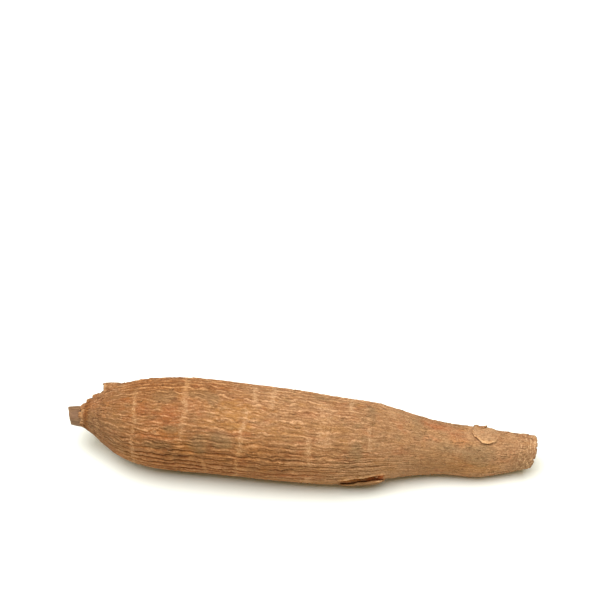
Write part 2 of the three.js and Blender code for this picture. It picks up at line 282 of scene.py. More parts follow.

# %% [markdown]
# Stains are soft patches: rusty where the outer layer has rubbed off, grey-green where mould has stayed,
# ochre where clay has rubbed in. Soil has stayed where the root was least rubbed, and painted shade goes
# with it, low on the belly's front, on the upper side of the tail's shoulder and under the neck. Painted
# masks would do for one mesh, but these lists and formulas serve the bark and every loose bit of it.

# %% Stains
# at, angle, half length, half width round the root, strength
RUST = [
    (70, 121, 8, 6, 0.75),
    (51, 115, 5, 4, 0.55),
    (62, 145, 12, 4, 0.8),
    (54, 190, 10, 6, 0.6),
    (108, 134, 13, 2, 0.8),
    (30, 196, 10, 5, 0.8),
    (236, 74, 10, 5, 0.9),
    (250, 104, 6, 5, 0.6),
    (150, 190, 16, 4, 0.6),
    (288, 150, 7, 7, 0.2),
    (100, 330, 26, 10, 0.7),
    (190, 300, 22, 8, 0.6),
]
GREY = [
    (65, 95, 8, 5, 0.75),
    (86, 90, 8, 5, 0.75),
    (96, 98, 4, 5, 0.8),
    (70, 137, 5, 2.5, 0.8),
    (62, 157, 9, 3.5, 0.8),
    (101, 146, 8, 6.5, 1.0),
    (89, 153, 7, 6, 1.0),
    (73, 170, 6, 4, 0.6),
    (186, 148, 4, 6, 0.9),
    (194, 88, 3.5, 7, 0.9),
    (224, 90, 4, 9, 0.6),
    (162, 68, 5, 4, 0.7),
    (262, 142, 11, 7, 0.9),
    (242, 128, 7, 5, 0.7),
    (24, 200, 8, 6, 0.8),
    (18, 150, 10, 9, 0.6),
    (33, 160, 9, 14, 0.5),
    (190, 214, 15, 5, 1.0),
    (238, 162, 22, 12, 0.45),
    # painted shade: this grey patch also darkens the lower side of the neck's end
    (294, 164, 8, 12, 0.7),
    (130, 350, 18, 9, 0.8),
    (60, 290, 14, 8, 0.7),
]
OCHRE = [
    (106, 126, 16, 3.4, 1.0),
    (110, 107, 16, 7, 0.9),
    (80, 160, 8, 5, 1.0),
    (66, 142, 12, 3, 0.7),
    (48, 188, 16, 6, 0.7),
    (140, 128, 12, 6, 0.6),
    (120, 150, 14, 6, 0.6),
    (168, 150, 12, 6, 0.2),
    (258, 176, 20, 6, 0.8),
    (150, 400, 20, 8, 0.6),
]
MOTTLES = [(26, 8), (22, 10), (30, 9)]  # each stain's grain along the root and across it, mm


def stained(at, angle):
    """The three stains as one triple a point: soft ellipses, eaten into by noise, plus a faint mottle."""
    amounts = np.zeros(np.broadcast(at, angle).shape + (3,))
    across = np.hypot(*beside(at, angle))
    pattern = grains(at, angle)
    ragged = pattern(9, 5, 31) + 0.6 * pattern(4, 2, 32)
    for which, patches in enumerate((RUST, GREY, OCHRE)):
        mottle = np.maximum(pattern(*MOTTLES[which], 40 + which), 1.1 * pattern(7, 4.5, 43 + which))
        most = 0.6 * step(mottle, 0.1, 0.6)
        for middle, degrees, half_length, half_width, strength in patches:
            turn = np.mod(angle - np.radians(degrees) + math.pi, 2 * math.pi) - math.pi
            reach = ((at - middle) / half_length) ** 2 + (turn * across / half_width) ** 2
            most = np.maximum(most, strength * (1 - step(reach + 1.1 * ragged, 0.0, 1.9)))
        amounts[..., which] = most
    return amounts


print(len(RUST), "rusty stains,", len(GREY), "grey ones and", len(OCHRE), "ochre ones")


# %% Soil and painted shade
def soiled(at, angle):
    """How much earth and painted shade the bark has, from 0 to 1. The most is low on the front of the belly,
    earth and painted shade that deepen downwards, with a ragged border, and in the collar behind the torn
    rim at the tail. Painted shade lies thinly on the upper side of the tail's shoulder and under the neck,
    and a little earth lies everywhere."""
    pattern = grains(at, angle)
    degrees = np.degrees(angle)
    ragged = 0.4 * pattern(14, 6, 35) + 0.35 * pattern(5, 2.5, 36)
    # painted shade with soil: the lower on the belly's front, the darker
    low = 0.7 * step(degrees + 0.12 * at, 140, 182) * (1 - step(degrees, 262, 300))
    low *= between(at, 40, 72, 108, 205) * (0.85 + ragged)
    collar = between(at, 9.5, 11, 11.5, 15)
    # painted shade: thinly on the upper side of the tail's shoulder and under the neck
    shoulder = 0.35 * between(at, 30, 48, 85, 125) * (1 - step(degrees, 78, 106))
    under_neck = 0.3 * between(at, 212, 232, 250, 270) * step(degrees, 130, 150)
    shade_film = (shoulder + under_neck) * (1 + ragged)
    return np.clip(low + collar + shade_film + 0.5 * step(ragged, 0.15, 0.5), 0, 1)


print("soil low on the belly's front:", round(float(soiled(90.0, math.radians(190))), 2))

# %% [markdown]
# ## The split under the belly
# On the front of the belly the bark has split along the root. Above the split is a torn edge, below it
# the bark has curled away as a lip, and between them the red-brown inner bark shows. It could be cut out
# with a boolean. As a dip in the surface it stays part of one closed mesh, and the cracks run up to its
# edge. The lip is a blade of its own, further down.

# %% The split's bed
SPLIT_FROM, SPLIT_TO = 174.5, 205  # along the root, mm
SPLIT_TOP, SPLIT_RISE = 201, 8  # angle of the torn edge at its end towards the tail, and how far it rises
SPLIT_END = 222  # angle of the far side of the bed
SPLIT_DEPTH = 0.8
WEB = 1.7  # how high the inner bark still bridges from the bed to the lip, mm


def split_part(at):
    """How far along the split a place is, from 0 at its end towards the tail to 1 at the other."""
    return np.clip((at - SPLIT_FROM) / (SPLIT_TO - SPLIT_FROM), 0, 1)


def split_bow(t):
    """How far the split stands open, t of the way along it: (1 - (1 - t)^3) (1 - t^14). It opens over
    its first half and shuts bluntly at its far end."""
    return (1 - (1 - t) ** 3) * (1 - t**14)


def split_share(at, angle):
    """1 in the bed of the split and 0 outside. The torn edge is a ragged line that rises by
    SPLIT_RISE on its way to the neck."""
    t = split_part(at)
    ragged = 1.0 * noise(at / 3.1, 0.5, 0.5, 51) + 0.6 * noise(at / 1.2, 0.5, 0.5, 52)
    top = SPLIT_TOP - SPLIT_RISE * t + ragged
    ends = between(t, 0.0, 0.08, 0.93, 1.0)
    return ends * between(np.degrees(angle), top - 2.2, top + 1.2, SPLIT_END, SPLIT_END + 4)


print("the split is", SPLIT_TO - SPLIT_FROM, "mm long")

# %% [markdown]
# ## The bark
# Cassava bark is a skin of thin, dry, papery scales, cracked along the root into wavy ridges, and each
# ridge into finer ones. It could be scanned or sculpted. Here the cracks are lines counted off round the
# root, like meridians. One noise bends them all, so that neighbours run side by side as they do in real
# bark, and another opens and shuts each by itself. They crowd together where the root is thin.

# %% Lines of cracks
COARSE, FINE = 42, 86  # cracks counted round the root
COARSE_RUN, FINE_RUN = 14, 7  # how far along the root a crack keeps as it is, mm
BELLY = 29  # the belly's radius, which turns a crack's stray in mm into an angle


def cracks(at, angle, count, run, seed):
    """`count` lines along the root, with a ridge between each two. A point gets its distance from the
    nearest line, from 0 on it to 1 half way to the next, how far that line has opened there, from 0
    to 1, and the tone of the ridge it is on, from -1 to 1. The last two are noise that changes in
    about `run` mm along the root and is another for each line or ridge."""
    turn = count * angle / (2 * math.pi)
    line = np.round(turn)
    opened = noise(at / run, 3.7 * np.mod(line, count), 0.5, seed)
    tone = 2.2 * noise(at / (0.8 * run), 3.7 * np.mod(np.floor(turn), count), 9.5, seed)
    return 2 * np.abs(turn - line), step(opened, -0.25, 0.3), np.clip(tone, -1, 1)


for count in (COARSE, FINE):
    print("on the belly a crack each", round(2 * math.pi * BELLY / count, 1), "mm")

# %% [markdown]
# The bark isn't the same all over. Low on the belly it is thick, with wide ridges. Facing up it is
# rubbed, and its wide cracks have nearly shut. The neck has young, smooth bark, and at the tail it is
# worn to short creases. Masks for that could be painted. Plateaus along the root and round it are
# enough, and the heights of ridges and cracks can be asked for anywhere.


# %% Zones of the bark
def zones(at, angle):
    """Six zones, each from 0 to 1, with borders that noise bends: low on the front of the belly, the
    plain part of that towards the tail, the upper side and back, the rubbed side that faces up and
    forwards, the young neck and the worn tail."""
    degrees = np.mod(np.degrees(angle), 360) + 10 * grains(at, angle)(26, 12, 8)
    low = between(degrees, 160, 178, 250, 290) * between(at, 30, 50, 135, 190)
    plain = low * (1 - step(at, 90, 130))
    upper = 1 - step(degrees, 80, 115) + step(degrees, 330, 360)
    rubbed = between(degrees, 66, 108, 150, 172)
    young, worn = step(at, 175, 235), 1 - step(at, 14, 44)
    return low, plain, upper, rubbed, young, worn


print("zones on the belly's front:", [round(float(zone), 2) for zone in zones(80.0, math.radians(150))])

# %% Relief of the bark
# heights and depths, mm
RIDGE_UP, FINE_RIDGE_UP, SCALE_UP = 0.5, 0.5, 0.25
DEEP_DOWN, SHALLOW_DOWN, CREASE_DOWN, WHOLE_DOWN = 0.62, 0.4, 0.3, 0.6


def crack_depths(at, angle, zone, restless, wide_cracks, fine_cracks):
    """How deep a point is in a wide crack, in a fine one and in a crease, each from 0 to 1. Cracks are
    notches that narrow downwards, by a step of the distance from their line. Creases lie where noise
    crosses zero, on the neck, at the tail and where the bark is rubbed."""
    low, plain, upper, rubbed, young, worn = zone
    away, opened = wide_cracks
    fine_away, fine_opened = fine_cracks
    deep = 0.6 - 0.35 * restless * (1 - plain) + 0.4 * opened
    deep *= 1 - step(away, 0.02, 0.3 + 0.12 * low + 0.08 * plain)
    deep *= (1 - 0.75 * young) * (1 - 0.7 * rubbed) * (1 - 0.45 * worn)
    shallow = 0.45 + 0.55 * fine_opened + 0.45 * upper * (1 - fine_opened)
    shallow *= 1 - step(fine_away, 0.0, 0.55)
    shallow *= (1 - 0.8 * young) * (1 - 0.25 * worn) * (1 - 0.3 * low) * (1 - 0.15 * rubbed)
    pattern = grains(at, angle)
    crossing = np.abs(pattern(5.5, 2, 9) + 0.3 * pattern(2.2, 1, 10))
    creased = np.maximum(np.maximum(0.32 * young, worn), 0.4 * rubbed)
    return deep, shallow, creased * (1 - step(crossing, 0.0, 0.17))


def bark_relief(at, angle):
    """Height over the smooth surface in mm, how deep in a crack the point is, from 0 to 1, which also sets
    the painted shade in the crack, and the ridge's tone, from -0.5 for a darker ridge to 1 for the palest,
    which is partly the rubbed outer layer and partly painted highlight. All lines stray together, by up to a
    few mm where the bark is restless. Ridges are parabolas between the lines, with thin scales on them, less
    the cracks."""
    pattern = grains(at, angle)
    zone = zones(at, angle)
    low, plain, upper, _, young, worn = zone
    restless = step(pattern(34, 18, 7) + 0.5 * np.sin(angle), -0.3, 0.5)
    restless = np.maximum(0.8 * low, restless)
    stray = 2.0 * pattern(24, 10, 1) + (0.8 + 2.0 * restless) * pattern(8, 5, 2)
    stray += (0.7 + 0.9 * restless) * pattern(3.8, 2.6, 3)
    bent = angle + stray / BELLY
    away, opened, long_tone = cracks(at, bent, COARSE, COARSE_RUN, 4)
    fine_away, fine_opened, tone = cracks(at, bent, FINE, FINE_RUN, 5)
    lines = (away, opened), (fine_away, fine_opened)
    deep, shallow, crease = crack_depths(at, angle, zone, restless, *lines)
    ridge = 1 - (1 - away) ** 2
    fine_ridge = 1 - fine_opened * (1 - fine_away) ** 2
    scale = step(pattern(3.5, 2.4, 6), 0.0, 0.1)
    height = RIDGE_UP * ridge + FINE_RIDGE_UP * fine_ridge + SCALE_UP * scale
    height -= DEEP_DOWN * deep + SHALLOW_DOWN * shallow + CREASE_DOWN * crease + WHOLE_DOWN
    height *= 1 - 0.45 * young
    # the ridge's tone, from darker to pale: the pale end is partly rubbed outer layer and partly painted
    # highlight, in fine lines, in long light strokes on wide ridges and on the low belly's ridges
    crest = step(fine_away, 0.3, 0.9) * (0.5 + 0.5 * ridge) * (1 - deep) * np.clip(0.5 + tone, -0.5, 1)
    crest = np.maximum(crest, 0.75 * step(away, 0.6, 0.95) * step(long_tone, 0.3, 0.9) * (1 - young))
    crest = crest * (1 - low) + low * step(away, 0.35, 0.9) * (0.5 + 0.25 * plain + 0.5 * tone)
    # painted highlight: ridges are paler still on the upper side, where the light falls
    crest = np.clip(crest * (1 + 0.5 * upper) * (1 - 0.45 * young - 0.25 * worn), -0.5, 1)
    return height, np.maximum(np.maximum(deep, 0.85 * shallow), crease), crest


height = bark_relief(80.0, np.linspace(0, 2 * math.pi, 2000))[0]
print("relief round the belly, mm:", round(height.min(), 2), "to", round(height.max(), 2))


# %% Surface of the bark
def bark(at, angle):
    """The bark's outer surface: distance from the axis, crack, which sets painted shade, ridge tone, which
    is partly painted highlight, scar, split and torn edge, whose paleness is partly painted highlight. Scars
    fill the cracks, the split's bed is smooth, and inner bark still bridges it to the lip."""
    height, crack, crest = bark_relief(at, angle)
    scar = scarred(at, angle)
    split = split_share(at, angle)
    thin = np.clip(along(RADIUS, at) / 24, 0.45, 1)
    height = thin * (height * (1 - 0.6 * scar) + 0.22 * scar)
    t = split_part(at)
    top = SPLIT_TOP - SPLIT_RISE * t
    web = WEB * split_bow(t) * between(np.degrees(angle), top + 4, top + 10, 216, 228)
    height = height * (1 - split) - SPLIT_DEPTH * split + web
    # painted highlight: the torn edge above the split is pale, partly as torn fibres are and partly for the
    # light that it catches
    torn_edge_highlight = split_share(at, angle + 0.07) * (1 - split)
    distance = smooth_radius(at, angle) + height + 0.5 * torn_edge_highlight
    return distance, crack * (1 - 0.5 * scar) * (1 - split), crest * (1 - split), scar, split, torn_edge_highlight


print("across the waist, mm:", round(2 * bark(240.0, np.linspace(0, 2 * math.pi, 2000))[0].mean(), 1))

# %% [markdown]
# The sleeve of bark is one grid of rings, closed by a pole in the middle of each end. At the tail it
# ends in a torn rim that stands a little off the bare core. At the neck the rings fold in over the rim
# of the cut, so that the bark's thickness shows round the flesh. A displacement modifier could raise the
# cracks too, but the loose bark further down would not know their height.


# %% The sleeve of bark
def full_turn(columns):
    """Angles once round the axis, one a column."""
    return np.linspace(0, 2 * math.pi, columns, endpoint=False)[None, :]


def with_poles(values):
    """The values of a grid, one a point, and after them the means of its first and last row."""
    flat = values.reshape(-1, *values.shape[2:])
    return np.concatenate([flat, values[:1].mean(axis=1), values[-1:].mean(axis=1)])


def tube_piece(name, grid, **attributes):
    """A closed tube: the grid's rings, with a fan to a pole in the middle of the first and last ring."""
    rows, columns = grid.shape[:2]
    ring = np.arange(columns)
    following = np.roll(ring, -1)
    first_pole, last_pole = np.full(columns, rows * columns), np.full(columns, rows * columns + 1)
    last = (rows - 1) * columns
    faces = grid_faces(rows, columns, closed=True).tolist()
    faces += np.stack([following, ring, first_pole], axis=-1).tolist()
    faces += np.stack([last + ring, last + following, last_pole], axis=-1).tolist()
    spread = {key: with_poles(values) for key, values in attributes.items()}
    return make_piece(name, with_poles(grid), faces, **spread)


COLUMNS = 420
ROWS = 228
SKIN = 1.0  # thickness of the bark where it is cut or torn, mm

angle = full_turn(COLUMNS)
even = np.linspace(BARK_START, LENGTH, ROWS)[:, None]
rim_ragged = 1.6 * noise(0.0, 2.4 * np.cos(angle), 2.4 * np.sin(angle), 61)
rim_ragged += 0.9 * noise(0.5, 7 * np.cos(angle), 7 * np.sin(angle), 62)
cut_ragged = -0.9 * step(noise(0.3, 5 * np.cos(angle), 5 * np.sin(angle), 63), 0.05, 0.25)
at = even + rim_ragged * (1 - step(even, BARK_START, 16)) + cut_ragged * step(even, LENGTH - 3, LENGTH)
distance, crack, crest, scar, split, torn_edge_highlight = bark(at, angle)
torn_rim = 0.6 * (1 - step(even, BARK_START, 9))
tail_fold = [
    place(at[:1] + 5, angle, 5.0),
    place(at[:1] + 1.5, angle, distance[:1] - 1.6 * SKIN),
    place(at[:1] + 0.2, angle, distance[:1] - 0.7 * SKIN),
]
neck_fold = [
    place(at[-1:], angle, distance[-1:] - SKIN),
    place(at[-1:] - 2, angle, distance[-1:] - 1.5 * SKIN),
]


def with_folds(values, tail=0.0, neck=0.0):
    """Extends an attribute of the sleeve's rings over the rings of the tail's fold and the neck's."""
    shape = values.shape[1:]
    before = np.full((len(tail_fold), *shape), tail)
    return np.concatenate([before, values, np.full((len(neck_fold), *shape), neck)])


grown_mm = np.stack(np.broadcast_arrays(at, *beside(at, angle)), axis=-1)
bark_sleeve = tube_piece(
    "bark_sleeve",
    np.concatenate([*tail_fold, place(at, angle, distance), *neck_fold]),
    grown_mm=with_folds(grown_mm, tail=grown_mm[:1], neck=grown_mm[-1:]),
    # the folds at both ends are darkened as cracks are: painted shade where the bark turns in
    crack=with_folds(crack, tail=0.6, neck=0.3),
    crest=with_folds(crest),
    scar=with_folds(scar),
    split=with_folds(split),
    # torn carries fresh breaks and, along the split's upper edge, painted highlight
    torn=with_folds(np.maximum(torn_edge_highlight, torn_rim), tail=0.8, neck=0.6),
    stain=with_folds(stained(at, angle)),
    soil=with_folds(soiled(at, angle), tail=0.3),
)

# %% [markdown]
# ## Paint for dry bark
# Dry root bark is matte cork and paper: no gloss at all, pale tan on the ridges where the outer layer has
# rubbed thin, and dark red-brown in the cracks where soil and tannin stay. A painted or scanned texture
# could show that. Here the mesh carries the cracks, scars and stains as attributes, and nodes lay colours
# over one another by them, as a painter would. The ridges' pale tan is partly painted highlight, and the
# cracks' dark red-brown is partly painted shade. The nodes also add what is finer than the mesh, in the
# millimetres in which the bark grew, so that the grain follows it.


# %% Colours and nodes
def linear(hex_colour):
    """An sRGB hex colour as linear red, green, blue and alpha: c / 12.92 below 0.04045, and
    ((c + 0.055) / 1.055) ^ 2.4 above."""
    parts = [int(hex_colour[i : i + 2], 16) / 255 for i in (1, 3, 5)]
    return [c / 12.92 if c <= 0.04045 else ((c + 0.055) / 1.055) ** 2.4 for c in parts] + [1.0]


def add(tree, kind, inputs=None, **settings):
    """Adds a node. `settings` are its properties, and `inputs` gives sockets, by name or number, a
    value, a hex colour or the output of another node."""
    node = tree.nodes.new(kind)
    for key, value in settings.items():
        setattr(node, key, value)
    for socket, value in (inputs or {}).items():
        if isinstance(value, bpy.types.NodeSocket):
            tree.links.new(value, node.inputs[socket])
        else:
            node.inputs[socket].default_value = linear(value) if isinstance(value, str) else value
    return node


print("mid brown #80532c, linear:", [round(part, 3) for part in linear("#80532c")])


# %% Amounts, layers and grain
def amount(tree, *parts):
    """The product of its parts. A part is a number, a socket or a ramp: a socket, the two values
    between which it goes smoothly from 0 to 1, and, if it goes from and to others, those two."""
    product = None
    for part in parts:
        if isinstance(part, tuple):
            ramp = dict(enumerate(part))
            part = add(tree, "ShaderNodeMapRange", ramp, interpolation_type="SMOOTHSTEP").outputs[0]
        if product is None:
            product = part
        else:
            product = add(tree, "ShaderNodeMath", {0: product, 1: part}, operation="MULTIPLY").outputs[0]
    return product


def painted(tree, colour, layers, blend="MIX"):
    """Lays colours over the first one. Each layer is a colour and the parts of its amount, from 0,
    where it doesn't show, to 1, where it hides all below."""
    for paint, *parts in layers:
        inputs = {0: amount(tree, *parts), 6: colour, 7: paint}
        colour = add(tree, "ShaderNodeMix", inputs, data_type="RGBA", blend_type=blend).outputs[2]
    return colour


def grain(tree, place_mm, run, width, detail=3.0, roughness=0.55, distortion=0.0):
    """Noise whose grains are `run` mm long along the root and `width` mm across it."""
    scale = (1 / run, 1 / width, 1 / width)
    moved = add(tree, "ShaderNodeMapping", {"Vector": place_mm, "Scale": scale})
    inputs = {"Vector": moved.outputs[0], "Scale": 1.0, "Detail": detail, "Roughness": roughness}
    inputs["Distortion"] = distortion
    return add(tree, "ShaderNodeTexNoise", inputs).outputs["Fac"]


def finished(name, tree, colour, height, strength, depth, roughness, specular):
    """Ends a material: a bump of `depth` mm from the height, the shader and the output."""
    bump = add(tree, "ShaderNodeBump", {"Strength": strength, "Distance": depth * MM, "Height": height})
    inputs = {"Base Color": colour, "Normal": bump.outputs[0], "Roughness": roughness}
    inputs["Specular IOR Level"] = specular
    shader = add(tree, "ShaderNodeBsdfPrincipled", inputs)
    add(tree, "ShaderNodeOutputMaterial", {"Surface": shader.outputs[0]})
    print(f"{name}: {len(tree.nodes)} nodes")


def new_material(name):
    """A material without any node yet, and its tree."""
    material = bpy.data.materials.new(name)
    material.use_nodes = True
    material.node_tree.nodes.clear()
    return material, material.node_tree


# %% [markdown]
# Dry bark is a stack of thin layers that have weathered each in its own colour. So its paint is lists of
# layers: the stained ground, with soil and painted shade, the ridges and scales on it, with painted
# highlights, the rubbed end of the neck, scars and cracks, with painted shade in the cracks, and last what
# warms it, what has broken open, and grit. Hair cracks are lines where noise crosses its middle value, drawn
# two or three times as wide as real ones, so that they show; their darkness is partly painted shade.

# %% The bark's material
TAN = "#a77b53"
BROWN = "#80532c"
RIDGE_HIGHLIGHT = "#d3a178"
CRACK_AND_SHADE = "#5c3218"
RUSTY = "#a9572b"
GREYISH = "#7b6a4c"
OCHREOUS = "#b27a38"
SOIL_AND_SHADE_BROWN = "#693507"
SCAR = "#c9a07a"
INNER_BARK = "#8a4f18"
TORN = "#dcae7e"


def bark_material(name):
    """Dry cassava bark. Nearly all of its look is colour, with painted highlights on the ridges and painted
    shade in the cracks and low on the belly.
    """
    material, tree = new_material(name)
    place_mm, stain = (
        add(tree, "ShaderNodeAttribute", attribute_name=key).outputs["Vector"]
        for key in ("grown_mm", "stain")
    )
    crack, crest, scar, split, torn, soil = (
        add(tree, "ShaderNodeAttribute", attribute_name=key).outputs["Fac"]
        for key in ("crack", "crest", "scar", "split", "torn", "soil")
    )
    rust, grey, ochre = add(tree, "ShaderNodeSeparateXYZ", {0: stain}).outputs
    along_mm = add(tree, "ShaderNodeSeparateXYZ", {0: place_mm}).outputs[0]

    broad = grain(tree, place_mm, 30, 12, detail=2)
    streaks = grain(tree, place_mm, 4, 0.8, detail=4, roughness=0.65, distortion=0.4)
    mottle = grain(tree, place_mm, 3.2, 1.9, detail=4, roughness=0.65)
    scales = grain(tree, place_mm, 1.2, 0.65, detail=3, roughness=0.7, distortion=0.6)
    flaky = grain(tree, place_mm, 0.8, 3.0, detail=3, roughness=0.6)
    warts = grain(tree, place_mm, 0.7, 1.1, detail=1)
    grit = grain(tree, place_mm, 0.5, 0.4, detail=2)
    hair = grain(tree, place_mm, 3.6, 0.8, detail=2, roughness=0.5, distortion=0.6)
    folded = add(tree, "ShaderNodeMath", {0: hair, 1: 0.5}, operation="PINGPONG").outputs[0]
    hair = amount(tree, (folded, 0.465, 0.5))

    ground = [
        ("#af8259", (broad, 0.35, 0.65, 0.0, 0.6)),  # lighter patches
        ("#864f1b", (along_mm, 20.0, 180.0, 0.75, 0.0)),  # browner towards the tail
        ("#ba8f6a", (along_mm, 190.0, 250.0, 0.0, 0.5)),  # paler towards the neck
        (BROWN, (mottle, 0.4, 0.7, 0.0, 0.4)),
        (RUSTY, rust, 0.7),
        (OCHREOUS, ochre, 0.6),
        # soil and painted shade: darker and browner low on the belly, on the shoulder and under the neck
        (SOIL_AND_SHADE_BROWN, soil, 0.75),
        (GREYISH, grey, 0.65),
    ]
    # ridges show less highlight under soil, painted shade and grey
    clean_and_unshaded = amount(tree, (soil, 0.0, 1.0, 1.0, 0.85), (grey, 0.0, 1.0, 1.0, 0.55))
    ridges = [
        # painted highlight on the ridges and on pale scales; darker ridges and scales are the bark's own
        # tone
        (RIDGE_HIGHLIGHT, crest, (scales, 0.35, 0.6, 0.4, 1.0), clean_and_unshaded),
        (BROWN, (crest, 0.0, -0.5, 0.0, 0.45)),
        (RIDGE_HIGHLIGHT, (scales, 0.54, 0.66, 0.0, 0.5), clean_and_unshaded),
        (BROWN, (scales, 0.47, 0.36, 0.0, 0.6)),
    ]
    neck_end = (along_mm, 283.0, 292.0)
    rubbed = [
        ("#a3613a", neck_end, 0.08),
        ("#e0b488", neck_end, (flaky, 0.54, 0.64, 0.0, 0.8)),
        ("#74452a", neck_end, (flaky, 0.46, 0.36, 0.0, 0.6)),
    ]
    corky, warty = amount(tree, (scales, 0.38, 0.56, 0.0, 0.6)), amount(tree, (warts, 0.52, 0.66))
    dotted = add(tree, "ShaderNodeMath", {0: corky, 1: warty}, operation="ADD").outputs[0]
    # painted shade: cracks and hair cracks turn dark red-brown, partly their own colour and partly the shade
    # in them
    hair_crack_and_shade = amount(tree, hair, 0.65)
    crack_and_shade_share = add(tree, "ShaderNodeMath", {0: crack, 1: hair_crack_and_shade}, operation="MAXIMUM").outputs[0]
    scars_and_cracks = [
        (SCAR, dotted, scar, 0.72),
        (CRACK_AND_SHADE, crack_and_shade_share, (scar, 0.0, 1.0, 1.0, 0.6), (soil, 0.0, 0.7, 0.93, 1.0)),
    ]
    colour = painted(tree, TAN, ground + ridges + rubbed + scars_and_cracks)

    # soil with painted shade, and the sap of the tail's end, warm whatever lies under them
    warmth = [("#fbe1a6", soil), ("#f5ecd8", (along_mm, 60.0, 110.0, 0.6, 0.0), (along_mm, 18.0, 46.0))]
    colour = painted(tree, colour, warmth, blend="MULTIPLY")

    # what has broken open, and grit over all
    fibres = painted(tree, TORN, [("#a5683a", (mottle, 0.4, 0.65))])
    fresh = painted(tree, INNER_BARK, [("#a9531f", (along_mm, 190.0, 200.0))])
    bed = painted(tree, "#56300a", [(fresh, (streaks, 0.35, 0.6))])
    colour = painted(tree, colour, [(fibres, torn), (bed, split), ("#cda273", (grit, 0.45, 0.8, 0.0, 0.25))])

    height = 0.0
    for pattern, weight in ((streaks, 0.4), (scales, 0.5), (grit, 0.15), (hair, -0.3)):
        sum_so_far = {0: pattern, 1: weight, 2: height}
        height = add(tree, "ShaderNodeMath", sum_so_far, operation="MULTIPLY_ADD").outputs[0]
    finished(name, tree, colour, height, strength=0.7, depth=0.6, roughness=0.86, specular=0.25)
    return material


DRY_BARK = bark_material("dry_cassava_bark")
bark_sleeve.data.materials.append(DRY_BARK)

# %% [markdown]
# ## The bare woody core at the tail
# Where the root thins out, its starchy flesh ends and only the tough woody core goes on. Here it has
# broken off close outside the bark, which has torn back from it. It could be a cylinder with some
# noise on its end. A profile carried round a lobed circle also gives it blunt ribs and a worn edge.

# %% The woody stub
STUB_RADIUS, STUB_SWAY, STUB_LIFT = 7.1, 5.85, 26.6
STUB_FROM, STUB_LENGTH = -1.1, 14  # the place of its break, and how far into the bark it goes
STUB_LEAN = 0.3  # how far its break slants, per mm towards +Y
STUB_COLUMNS = 96
STUB_PROFILE = [
    # out from the break, share of the radius
    (0.9, 0.12),
    (0.6, 0.3),
    (0.7, 0.5),
    (0.35, 0.62),
    (0.1, 0.7),
    (0.0, 0.77),
    (0.2, 0.81),
    (0.6, 0.84),
    (1.4, 0.87),
    (2.6, 0.9),
    (4.2, 0.93),
    (6.0, 0.96),
    (8.0, 0.98),
    (10.4, 1.0),
    (12.4, 1.03),
    (STUB_LENGTH, 1.05),
]

turn = full_turn(STUB_COLUMNS)
out, share = np.array(STUB_PROFILE).T[:, :, None]
ribs = 1 + 0.06 * np.cos(2 * turn + 1) + 0.03 * np.cos(5 * turn) + 0.025 * np.cos(9 * turn + 2)
lobed = STUB_RADIUS * share * (1 + (ribs - 1) * share)
rough = 0.5 * noise(3 * share * np.cos(turn), 3 * share * np.sin(turn), 0.5, 71) * (1 - step(out, 0.2, 2))
slant = STUB_LEAN * lobed * np.cos(turn) * (1 - np.clip(out / STUB_LENGTH, 0, 1))
stub_x = STUB_FROM + out - slant + rough - MIDDLE
stub_grid = np.stack([stub_x, STUB_SWAY + lobed * np.cos(turn), STUB_LIFT + lobed * np.sin(turn)], axis=-1)
woody_stub = tube_piece("woody_stub", stub_grid, break_share=1 - step(out, 0.2, 0.9) + 0 * turn)


def object_mm(tree):
    """Object coordinates in millimetres."""
    here = add(tree, "ShaderNodeTexCoord").outputs["Object"]
    return add(tree, "ShaderNodeVectorMath", {0: here, 1: (1 / MM,) * 3}, operation="MULTIPLY").outputs[0]


def woody_material(name):
    """Weathered bare root wood: dull grey-brown with a purplish cast, fine grain along it, and a
    lighter, fibrous break."""
    material, tree = new_material(name)
    here_mm = object_mm(tree)
    break_share = add(tree, "ShaderNodeAttribute", attribute_name="break_share").outputs["Fac"]
    fibre = grain(tree, here_mm, 7, 0.7, detail=4, roughness=0.6)
    cloud = grain(tree, here_mm, 4, 3, detail=2)
    layers = [
        ("#866547", (fibre, 0.35, 0.65)),
        ("#75543f", (cloud, 0.4, 0.65, 0.0, 0.5)),
        ("#8b6b4c", break_share, 0.7),
    ]
    colour = painted(tree, "#62442d", layers)
    finished(name, tree, colour, fibre, strength=0.6, depth=0.3, roughness=0.7, specular=0.3)
    return material


woody_stub.data.materials.append(woody_material("weathered_root_wood"))

# %% [markdown]
# ## The cut at the neck
# The harvester's knife leaves a flat face that dries at once: a thin bark, the inner bark as a
# pinkish-brown ring, tan flesh with faint rings and rays, and a woody centre. The flesh shrinks a
# little as it dries, so the face dips between its rim and its centre. A flat cap would do from afar.
# A grid of rings has the dip, and the rays as real relief.

# %% The cut face
CUT_RINGS, CUT_COLUMNS = 34, 160
CUT_INSET = 0.7  # how far the dried face lies behind the bark's rim, mm
share = np.concatenate([np.linspace(0.02, 1, CUT_RINGS), [1.0, 0.9]])[:, None]
back = np.concatenate([np.zeros(CUT_RINGS), [2.5, 3.0]])[:, None]
turn = full_turn(CUT_COLUMNS)
wide = share * (smooth_radius(np.array(LENGTH), turn) - 1.1)
dip = 0.7 * np.sin(math.pi * share) ** 2 - 0.5 * (1 - step(share, 0.1, 0.22))
rays = 0.12 * noise(14 * np.cos(turn), 14 * np.sin(turn), 2 * share, 81)
rough = 0.3 * noise(wide * np.cos(turn) / 1.6, wide * np.sin(turn) / 1.6, 0.5, 82) + rays
cut_grid = place(np.array(LENGTH - CUT_INSET) - dip + rough - back, turn, wide)[::-1]
cut_face = tube_piece("cut_face", cut_grid, share=(share + 0 * turn)[::-1])


